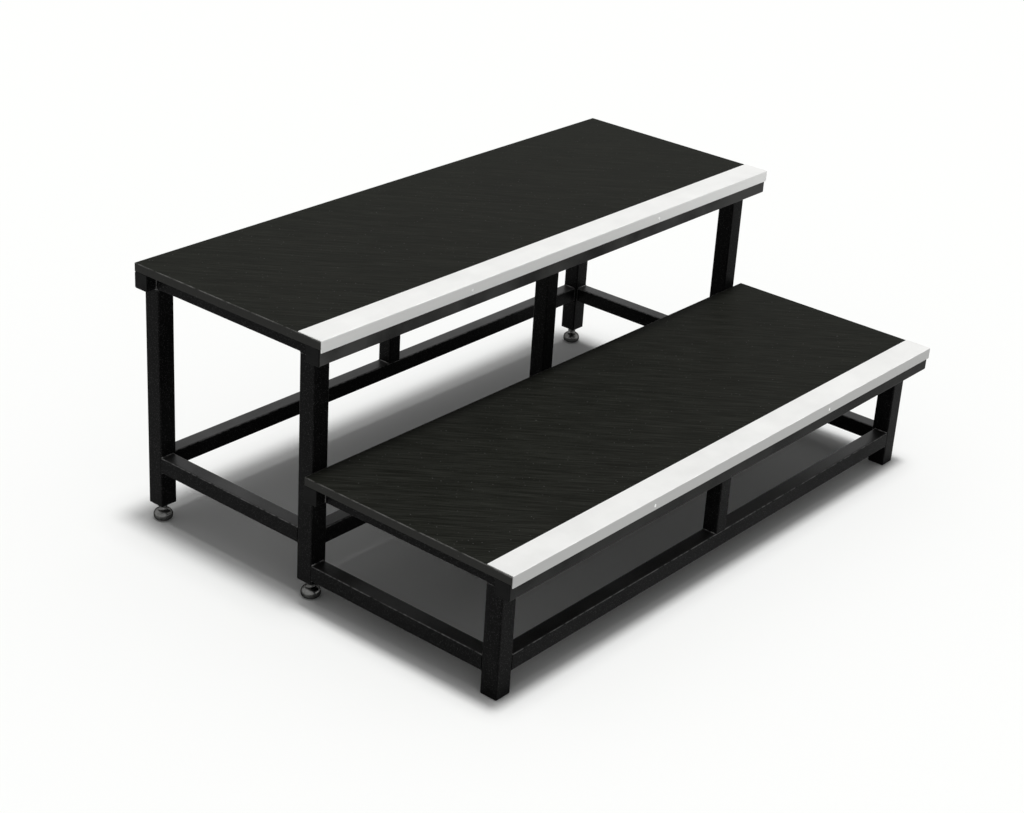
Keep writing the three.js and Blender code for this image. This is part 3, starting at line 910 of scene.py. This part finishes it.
# Board screws.
# Zinc-plated pan-head screws with a cross recess, driven up through the tabs into the boards.
ZINC_BRIGHT = (0.97, 0.97, 0.97, 1)
ZINC_DULL = (0.9, 0.9, 0.89, 1)
PAN_RADIUS = 0.0045
PAN_HEIGHT = 0.0026
PAN_FLAT = 0.0012
PAN_LAND = 0.0004
PAN_STEPS = 7
PAN_SHANK = 0.0014
PAN_LENGTH = 0.014
RECESS_ARM = 0.0018
RECESS_WIDTH = 0.0007
RECESS_DEPTH = 0.0008
SCREW_STEPS = 32
ZINC_PLATE = patchy_finish(
    "zinc_plate", fine=2500, broad=400, colours=(ZINC_BRIGHT, ZINC_DULL), patches=NOISE_MIDDLE,
    roughness=(0.26, 0.42), grain=(0.00002, 0.4), Metallic=1.0)


def cross_cutter(depth_from, depth_to):
    """Two crossed bars, for cutting a cross recess along Z."""
    shape = bmesh.new()
    for long_axis in (0, 1):
        made = bmesh.ops.create_cube(shape, size=1)
        for vertex in made["verts"]:
            reach = [RECESS_WIDTH / 2, RECESS_WIDTH / 2]
            reach[long_axis] = RECESS_ARM
            vertex.co.x = math.copysign(reach[0], vertex.co.x)
            vertex.co.y = math.copysign(reach[1], vertex.co.y)
            vertex.co.z = depth_to if vertex.co.z > 0 else depth_from
    mesh = bpy.data.meshes.new("cross")
    shape.to_mesh(mesh)
    shape.free()
    cutter = bpy.data.objects.new("cross", mesh)
    bpy.context.scene.collection.objects.link(cutter)
    return cutter


def recessed(piece, cutter):
    """Cuts the cross recess into a screw's head."""
    cut = piece.modifiers.new("recess", "BOOLEAN")
    cut.object = cutter
    cut.operation = "DIFFERENCE"
    cut.solver = "EXACT"
    cut.use_self = True
    settle(piece)
    bpy.data.objects.remove(cutter)
    piece.data.set_sharp_from_angle(angle=SHARP_ANGLE)
    return piece


def pan_screw():
    """Head down, with its seat at the origin."""
    crown = curve_points(
        (PAN_FLAT, -PAN_HEIGHT), (PAN_RADIUS, -PAN_HEIGHT), (PAN_RADIUS, -PAN_LAND), PAN_STEPS)
    shank = [(PAN_SHANK, 0), (PAN_SHANK, PAN_LENGTH - PAN_SHANK), (0, PAN_LENGTH)]
    profile = [(0, -PAN_HEIGHT), *crown, (PAN_RADIUS, 0), *shank]
    screw = turned("pan_screw", (0, 0), profile, ZINC_PLATE, SCREW_STEPS)
    return recessed(screw, cross_cutter(-2 * PAN_HEIGHT, RECESS_DEPTH - PAN_HEIGHT))


for tier in TIERS:
    seats = [place - Vector((0, 0, TAB_SIZE.z)) for place in tab_places(tier)]
    screws = set_out(f"{tier}_board_screws", pan_screw(), seats, ZINC_PLATE)
    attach(screws, BODY)

# Edge angles.
# Extruded aluminium angle, satin anodised, cut a little short of the board at each end, its flange
# on the board and its lip over the front edge. The lip's colour is painted light and shade: lighter
# on the upper angle, darker on the low one.
ALUMINIUM = (0.775, 0.775, 0.761, 1)
ALUMINIUM_DULL = (0.715, 0.715, 0.702, 1)
# Lip colours per tier: painted light on the upper angle, painted shade on the low one.
ALUMINIUM_LIP_PAINTED_SHADING = {"upper": (0.84, 0.84, 0.83, 1), "lower": (0.49, 0.49, 0.484, 1)}
# Upper edges: wear and a painted highlight.
ALUMINIUM_EDGE_WEAR_AND_HIGHLIGHT = (0.95, 0.95, 0.94, 1)
ALUMINIUM_PATCHES = (0.35, 0.7)
ALUMINIUM_ROUGHNESS = (0.46, 0.6)
DRAWN_GRAIN = (0.00003, 0.35)
LIP_FACES = (0.8, 0.2)


def drawn_lines_group():
    """Fine lines along X, as left by the die."""
    tree, source, sink = node_tree(
        "drawn_lines", "ShaderNodeTree",
        [("Along", "NodeSocketFloat", None), ("Across", "NodeSocketFloat", None)],
        [("Height", "NodeSocketFloat")])
    place = add_node(tree, "ShaderNodeTexCoord").outputs["Object"]
    stretch = add_node(
        tree, "ShaderNodeCombineXYZ",
        {"X": source["Along"], "Y": source["Across"], "Z": source["Across"]})
    lines = add_node(
        tree, "ShaderNodeVectorMath", {0: place, 1: stretch.outputs[0]}, operation="MULTIPLY")
    noise = add_node(
        tree, "ShaderNodeTexNoise", {"Vector": lines.outputs[0], "Scale": 1, "Detail": 3})
    tree.links.new(noise.outputs["Fac"], sink["Height"])
    return tree


DRAWN_LINES = drawn_lines_group()


def satin_aluminium_painted_lip(tier):
    """Anodised aluminium with lines from the die, its lip painted lighter on the upper angle and
    darker on the low one, and brighter on its upper edges from wear and a painted highlight.
    """
    material, tree, shader = surface(f"{tier}_satin_aluminium", Metallic=0.42)
    lines = use_group(tree, DRAWN_LINES, {"Along": 3, "Across": 1400})["Height"]
    texture = use_group(tree, FINE_TEXTURE, {"Fine scale": 600, "Broad scale": 12})
    wear_and_highlight = use_group(tree, EDGE_WEAR_AND_HIGHLIGHT, {"Width": 0.0012, "Patch scale": 30})["Mask"]
    tone = mask(tree, texture["Tone"], *ALUMINIUM_PATCHES)
    flange = blend_colours(tree, tone, ALUMINIUM, ALUMINIUM_DULL)
    lip = mask(tree, upward(tree), *LIP_FACES)
    plain = blend_colours(tree, lip, flange, ALUMINIUM_LIP_PAINTED_SHADING[tier])
    roughness = mapped(tree, lines, ALUMINIUM_ROUGHNESS, NOISE_SPREAD)
    tree.links.new(blend_colours(tree, wear_and_highlight, plain, ALUMINIUM_EDGE_WEAR_AND_HIGHLIGHT), shader["Base Color"])
    tree.links.new(roughness, shader["Roughness"])
    tree.links.new(bump(tree, lines, *DRAWN_GRAIN), shader["Normal"])
    return material


for tier in TIERS:
    coat_node(f"{tier}_nosing", satin_aluminium_painted_lip(tier))

# Edge angle screws.
# Countersunk zinc-plated screws with a raised head and a cross recess, two in the lip of each
# angle, driven into the front edge of the board.
CSK_RADIUS = 0.0036
CSK_DEPTH = 0.0017
CSK_SHANK = 0.0016
CSK_LENGTH = 0.025
CROWN_RISE = 0.0005
CROWN_STEPS = 6


def countersunk_screw():
    """Head to the front, with its crown at the origin and its rim sunk by the crown's rise."""
    rim = CSK_RADIUS - CROWN_RISE * (CSK_RADIUS - CSK_SHANK) / CSK_DEPTH
    crown = curve_points((0, 0), (rim / 2, 0), (rim, CROWN_RISE), CROWN_STEPS)
    shank = [(CSK_SHANK, CSK_DEPTH), (CSK_SHANK, CSK_LENGTH - CSK_SHANK), (0, CSK_LENGTH)]
    profile = [(0, 0), *crown, *shank]
    screw = turned("countersunk_screw", (0, 0), profile, ZINC_PLATE, SCREW_STEPS)
    recessed(screw, cross_cutter(-RECESS_DEPTH, RECESS_DEPTH))
    screw.data.transform(Matrix.Rotation(math.radians(-90), 4, "X"))
    return screw


for tier in TIERS:
    nodes = [f"{tier}_nosing_{side}_screw" for side in ("left", "right")]
    places = []
    for node in nodes:
        low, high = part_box(node)
        places.append(Vector(((low[0] + high[0]) / 2, low[1], (low[2] + high[2]) / 2)))
    screws = set_out(f"{tier}_nosing_screws", countersunk_screw(), places, ZINC_PLATE)
    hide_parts(*nodes)
    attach(screws, BODY)

# Studio floor.
# A wide pale floor, so that the picture's ground is all floor and keeps the object's soft shadow.
FLOOR_HALF = 30
FLOOR_WHITE = (0.93, 0.935, 0.925, 1)

floor_mesh = bpy.data.meshes.new("floor")
floor_mesh.from_pydata(
    [(-FLOOR_HALF, -FLOOR_HALF, 0), (FLOOR_HALF, -FLOOR_HALF, 0),
     (FLOOR_HALF, FLOOR_HALF, 0), (-FLOOR_HALF, FLOOR_HALF, 0)], [], [(0, 1, 2, 3)])
floor = bpy.data.objects.new("floor", floor_mesh)
bpy.context.scene.collection.objects.link(floor)
floor_material = surface(
    "pale_floor", Base_Color=FLOOR_WHITE, Specular_IOR_Level=0.0, Roughness=0.9)[0]
floor_mesh.materials.append(floor_material)

# Studio light.
# Two soft lights overhead, one wider than the other, a dim even room round them, and white walls
# that show in bright metal.
LAMPS = [
    ("overhead_near", 1.6, math.radians(7), (math.radians(4.8), math.radians(1), 0)),
    ("overhead_wide", 1.02, math.radians(19), (math.radians(3.5), math.radians(1), 0)),
]
ROOM_LIGHT = 0.24
WALL_LIGHT = 1.0
WALL_WHITE = (1, 1, 1, 1)

for name, power, angle, tilt in LAMPS:
    lamp = bpy.data.objects.new(name, bpy.data.lights.new(name, "SUN"))
    lamp.data.energy = power
    lamp.data.angle = angle
    lamp.rotation_euler = tilt
    bpy.context.scene.collection.objects.link(lamp)

world = bpy.data.worlds.new("studio")
bpy.context.scene.world = world
world.use_nodes = True
sky_tree = world.node_tree
sky = sky_tree.nodes["Background"].inputs
rays = add_node(sky_tree, "ShaderNodeLightPath").outputs
seen = combine(sky_tree, "MAXIMUM", rays["Is Camera Ray"], rays["Is Glossy Ray"])
seen = combine(sky_tree, "MAXIMUM", seen, rays["Is Transmission Ray"])
sky_tree.links.new(mapped(sky_tree, seen, (ROOM_LIGHT, WALL_LIGHT)), sky["Strength"])
sky["Color"].default_value = WALL_WHITE

# Camera.
# At the photograph's place, found by fitting the part's own corners to it.
IMAGE_WIDTH = 1024
FOCAL_PIXELS = 2024.1
EYE = Vector((-3.1159, -2.3876, 2.0752))
HEADING = math.radians(51.274)
LOOK_DOWN = math.radians(25.558)
ROLL = math.radians(3.721)
SENSOR = 36.0
VIEW_DEPTH = 100

forward = Vector((
    math.sin(HEADING) * math.cos(LOOK_DOWN),
    math.cos(HEADING) * math.cos(LOOK_DOWN),
    -math.sin(LOOK_DOWN)))
level_right = Vector((math.cos(HEADING), -math.sin(HEADING), 0))
level_up = level_right.cross(forward)
right = math.cos(ROLL) * level_right + math.sin(ROLL) * level_up
up = -math.sin(ROLL) * level_right + math.cos(ROLL) * level_up
turn = Matrix((right, up, -forward)).transposed().to_4x4()
camera = bpy.data.objects.new("camera", bpy.data.cameras.new("camera"))
camera.matrix_world = Matrix.Translation(EYE) @ turn
camera.data.sensor_width = SENSOR
camera.data.lens = FOCAL_PIXELS / IMAGE_WIDTH * SENSOR
camera.data.clip_end = VIEW_DEPTH
bpy.context.scene.collection.objects.link(camera)
bpy.context.scene.camera = camera
bpy.context.scene.view_settings.view_transform = "Standard"
